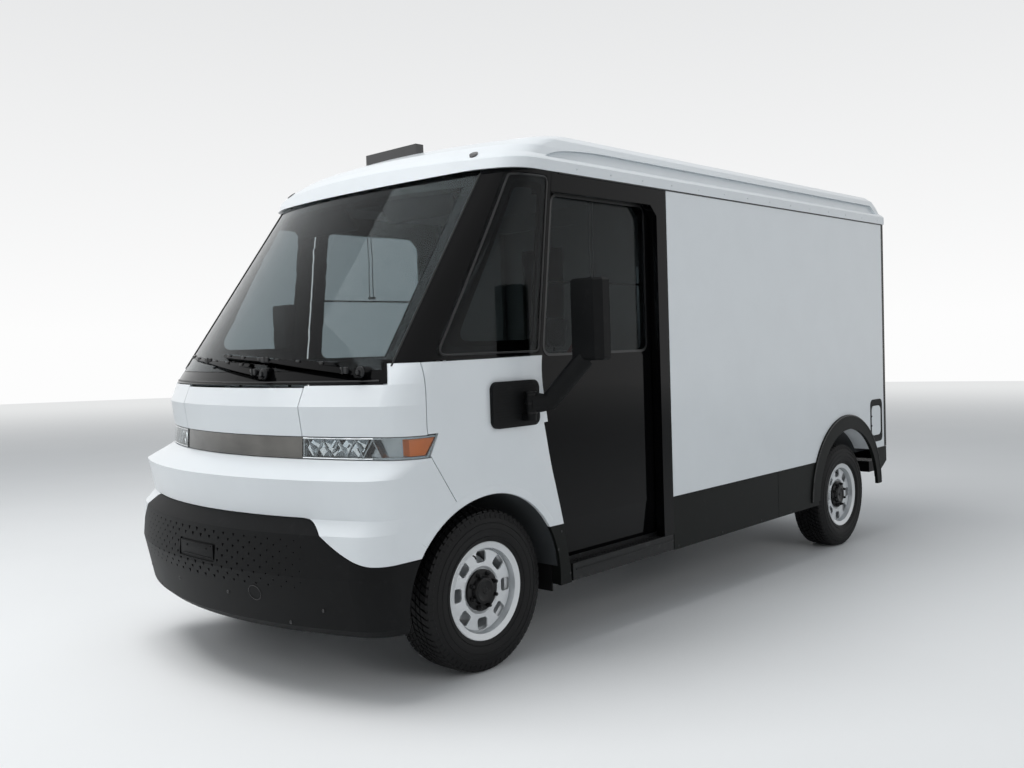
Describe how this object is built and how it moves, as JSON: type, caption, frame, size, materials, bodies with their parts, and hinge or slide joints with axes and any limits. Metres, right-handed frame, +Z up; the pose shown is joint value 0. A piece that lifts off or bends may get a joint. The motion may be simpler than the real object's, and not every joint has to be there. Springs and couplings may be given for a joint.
{
  "type": "electric delivery van",
  "caption": "Walk-through electric delivery van with sliding cab doors, steered front wheels, a hinged hood and a tall closed load body.",
  "frame": {"origin": "on the ground, at the bottom centre of the whole van with its mirrors", "axes": "+Z up, -Y towards the front of the van, +X towards its left side"},
  "size_m": [2.82, 5.8068, 2.7722],
  "materials": {
    "body_white": "gloss white paint",
    "gloss_black": "gloss black",
    "bumper_black": "fine-grained moulded plastic",
    "cladding_grey": "grained dark grey plastic",
    "panel_grey": "smooth grey",
    "lamp_body": "lamp housing",
    "clear_lens": "clear moulded lens",
    "red_lens": "red moulded lens",
    "amber_lens": "amber moulded lens",
    "window_glass": "clear laminated glass",
    "tyre_rubber": "worn black rubber",
    "wheel_paint": "silver enamel",
    "chassis_black": "satin black coating",
    "cast_iron": "as cast, lightly rusted",
    "alloy": "mill finish",
    "battery_case": "coated alloy case",
    "step_black": "ribbed rubber-like plastic",
    "floor_grey": "satin grey floor coating",
    "bulkhead_grey": "light grey paint",
    "dash_black": "soft grained plastic",
    "seat_cloth": "woven dark cloth",
    "mud_rubber": "black rubber"
  },
  "bodies": {
    "van": {"battery_pack": "battery_case", "bulkhead": "bulkhead_grey", "cab_floor": "floor_grey", "cab_frame": "gloss_black", "cargo_floor": "floor_grey", "charge_inlet": "cladding_grey", "chassis_frame": "chassis_black", "cladding": "cladding_grey", "corner_panels": "body_white", "dashboard": "dash_black", "door_surrounds": "gloss_black", "drive_units": "alloy", "driver_seat": "seat_cloth", "fender_left": "body_white", "fender_right": "body_white", "firewall": "floor_grey", "front_bumper": "bumper_black", "front_fascia": "body_white", "front_suspension": "chassis_black", "headlamp_lenses": "clear_lens", "headlamps": "lamp_body", "light_bar": "panel_grey", "marker_lamps": "amber_lens", "mirror_mounts": "bumper_black", "mud_flaps": "mud_rubber", "quarter_glass": "window_glass", "rear_axle": "chassis_black", "rear_bumper": "bumper_black", "rear_door": "body_white", "rear_frame": "gloss_black", "roof": "body_white", "seat_base": "chassis_black", "side_wall_left": "body_white", "side_wall_right": "body_white", "sills": "step_black", "steering_wheel": "dash_black", "tail_lamps": "red_lens", "windshield": "window_glass", "wipers": "gloss_black"},
    "steer_left": {"knuckle_left": "cast_iron"},
    "steer_right": {"knuckle_right": "cast_iron"},
    "wheel_front_left": {"tyre_front_left": "tyre_rubber", "rim_front_left": "wheel_paint"},
    "wheel_front_right": {"tyre_front_right": "tyre_rubber", "rim_front_right": "wheel_paint"},
    "wheel_rear_left": {"tyre_rear_left": "tyre_rubber", "rim_rear_left": "wheel_paint"},
    "wheel_rear_right": {"tyre_rear_right": "tyre_rubber", "rim_rear_right": "wheel_paint"},
    "door_left": {"cab_door_left": "gloss_black", "door_glass_left": "window_glass"},
    "door_right": {"cab_door_right": "gloss_black", "door_glass_right": "window_glass"},
    "hood_panel": {"hood": "body_white"},
    "flap": {"charge_flap": "body_white"},
    "mirror_arm_left": {"mirror_left": "bumper_black"},
    "mirror_arm_right": {"mirror_right": "bumper_black"},
    "inner_door": {"bulkhead_door": "bulkhead_grey"}
  },
  "joints": [
    {"name": "door_left_slide", "type": "slide", "parent": "van", "child": "door_left", "axis": [0, 0.9999, 0.0147], "range_m": [0, 0.86]},
    {"name": "door_right_slide", "type": "slide", "parent": "van", "child": "door_right", "axis": [0, 0.9999, 0.0147], "range_m": [0, 0.86]},
    {"name": "hood_hinge", "type": "hinge", "parent": "van", "child": "hood_panel", "pos_m": [0, -2.61326, 1.45199], "axis": [-1, 0, 0], "range_deg": [0, 60]},
    {"name": "flap_hinge", "type": "hinge", "parent": "van", "child": "flap", "pos_m": [1.052, 2.38986, 0.93528], "axis": [0, 0.0147, -0.9999], "range_deg": [0, 100]},
    {"name": "mirror_left_fold", "type": "hinge", "parent": "van", "child": "mirror_arm_left", "pos_m": [1.108, -1.70683, 1.29326], "axis": [0, -0.0147, 0.9999], "range_deg": [-90, 20]},
    {"name": "mirror_right_fold", "type": "hinge", "parent": "van", "child": "mirror_arm_right", "pos_m": [-1.108, -1.70683, 1.29326], "axis": [0, 0.0147, -0.9999], "range_deg": [-90, 20]},
    {"name": "inner_door_slide", "type": "slide", "parent": "van", "child": "inner_door", "axis": [-1, 0, 0], "range_m": [0, 0.5]},
    {"name": "steer_left_pivot", "type": "hinge", "parent": "van", "child": "steer_left", "pos_m": [0.785, -1.91989, 0.393], "axis": [0, 0, 1], "range_deg": [-30, 30]},
    {"name": "steer_right_pivot", "type": "hinge", "parent": "van", "child": "steer_right", "pos_m": [-0.785, -1.91989, 0.393], "axis": [0, 0, 1], "range_deg": [-30, 30]},
    {"name": "wheel_front_left_spin", "type": "hinge", "parent": "steer_left", "child": "wheel_front_left", "pos_m": [0.88, -1.91989, 0.393], "axis": [1, 0, 0], "continuous": true},
    {"name": "wheel_rear_left_spin", "type": "hinge", "parent": "van", "child": "wheel_rear_left", "pos_m": [0.88, 1.96911, 0.393], "axis": [1, 0, 0], "continuous": true},
    {"name": "wheel_front_right_spin", "type": "hinge", "parent": "steer_right", "child": "wheel_front_right", "pos_m": [-0.88, -1.91989, 0.393], "axis": [1, 0, 0], "continuous": true},
    {"name": "wheel_rear_right_spin", "type": "hinge", "parent": "van", "child": "wheel_rear_right", "pos_m": [-0.88, 1.96911, 0.393], "axis": [1, 0, 0], "continuous": true}
  ],
  "couplings": [
    {"joint": "steer_right_pivot", "follows": "steer_left_pivot", "ratio": 1}
  ]
}
